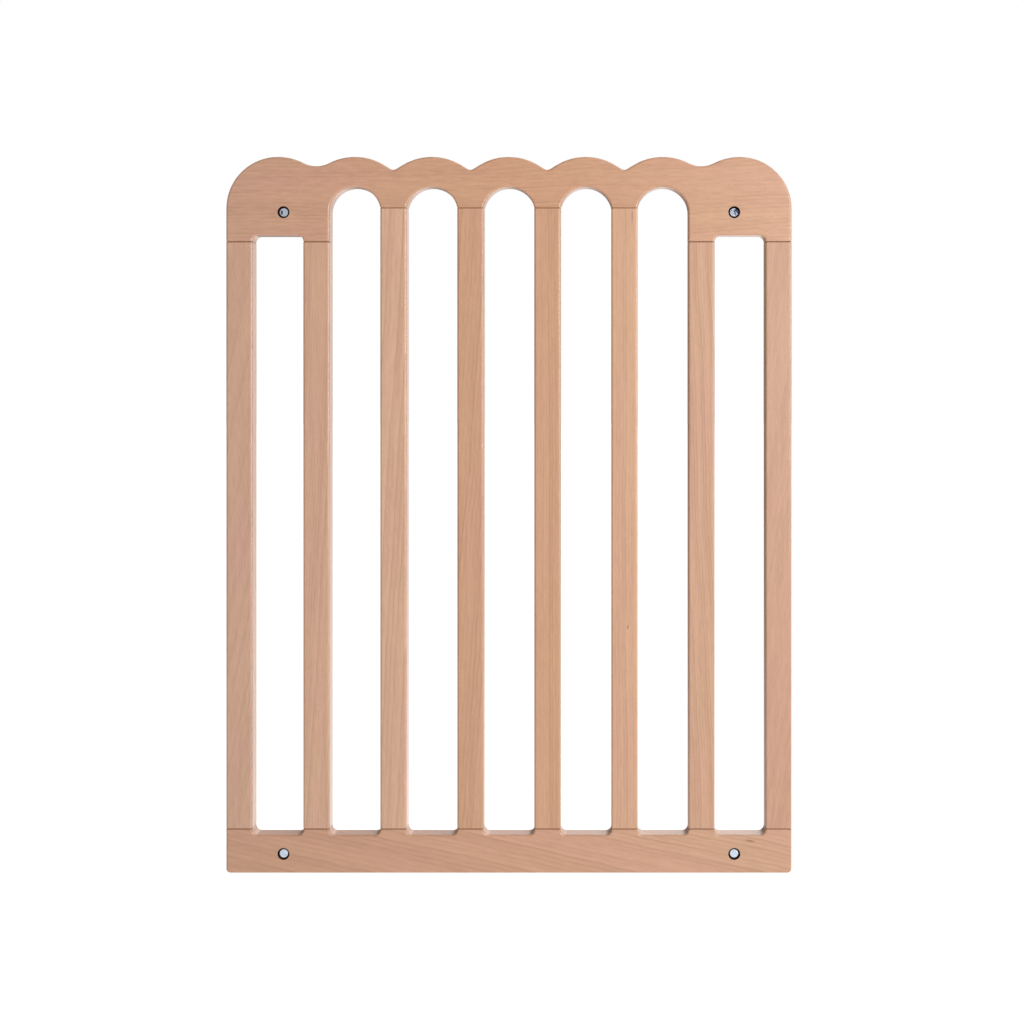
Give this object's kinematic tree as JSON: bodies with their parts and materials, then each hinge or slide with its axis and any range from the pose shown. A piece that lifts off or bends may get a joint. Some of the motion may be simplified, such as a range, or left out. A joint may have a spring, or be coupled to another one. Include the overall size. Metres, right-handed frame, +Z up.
{
  "type": "safety baby gate",
  "caption": "Wooden stair gate panel with a scalloped top rail, arched gaps between upright bars and a barrel nut in each corner for wall fixings.",
  "frame": {"origin": "the middle of the bottom rail's underside, at half the panel's thickness", "axes": "+Z up along the bars, +X along the rails to the right as seen from the front, -Y out of the front face, which shows the barrel nuts"},
  "size_m": [0.6, 0.02, 0.76],
  "materials": {
    "beech": "steamed European beech, sanded, clear satin lacquer",
    "dowel_beech": "raw beech dowel, unfinished",
    "zinc_steel": "turned steel, clear zinc plate"
  },
  "bodies": {
    "panel": {"top_rail": "beech", "bottom_rail": "beech", "left_stile": "beech", "slat_1": "beech", "slat_2": "beech", "slat_3": "beech", "slat_4": "beech", "slat_5": "beech", "slat_6": "beech", "right_stile": "beech", "left_stile_top_dowels": "dowel_beech", "left_stile_bottom_dowels": "dowel_beech", "slat_1_top_dowels": "dowel_beech", "slat_1_bottom_dowels": "dowel_beech", "slat_2_top_dowels": "dowel_beech", "slat_2_bottom_dowels": "dowel_beech", "slat_3_top_dowels": "dowel_beech", "slat_3_bottom_dowels": "dowel_beech", "slat_4_top_dowels": "dowel_beech", "slat_4_bottom_dowels": "dowel_beech", "slat_5_top_dowels": "dowel_beech", "slat_5_bottom_dowels": "dowel_beech", "slat_6_top_dowels": "dowel_beech", "slat_6_bottom_dowels": "dowel_beech", "right_stile_top_dowels": "dowel_beech", "right_stile_bottom_dowels": "dowel_beech"},
    "top_left_nut_body": {"top_left_nut": "zinc_steel"},
    "bottom_left_nut_body": {"bottom_left_nut": "zinc_steel"},
    "top_right_nut_body": {"top_right_nut": "zinc_steel"},
    "bottom_right_nut_body": {"bottom_right_nut": "zinc_steel"}
  },
  "joints": [
    {"name": "top_left_nut_turn", "type": "hinge", "parent": "panel", "child": "top_left_nut_body", "pos_m": [-0.239, 0, 0.701], "axis": [0, 1, 0], "continuous": true},
    {"name": "bottom_left_nut_turn", "type": "hinge", "parent": "panel", "child": "bottom_left_nut_body", "pos_m": [-0.239, 0, 0.0205], "axis": [0, 1, 0], "continuous": true},
    {"name": "top_right_nut_turn", "type": "hinge", "parent": "panel", "child": "top_right_nut_body", "pos_m": [0.239, 0, 0.701], "axis": [0, 1, 0], "continuous": true},
    {"name": "bottom_right_nut_turn", "type": "hinge", "parent": "panel", "child": "bottom_right_nut_body", "pos_m": [0.239, 0, 0.0205], "axis": [0, 1, 0], "continuous": true}
  ]
}
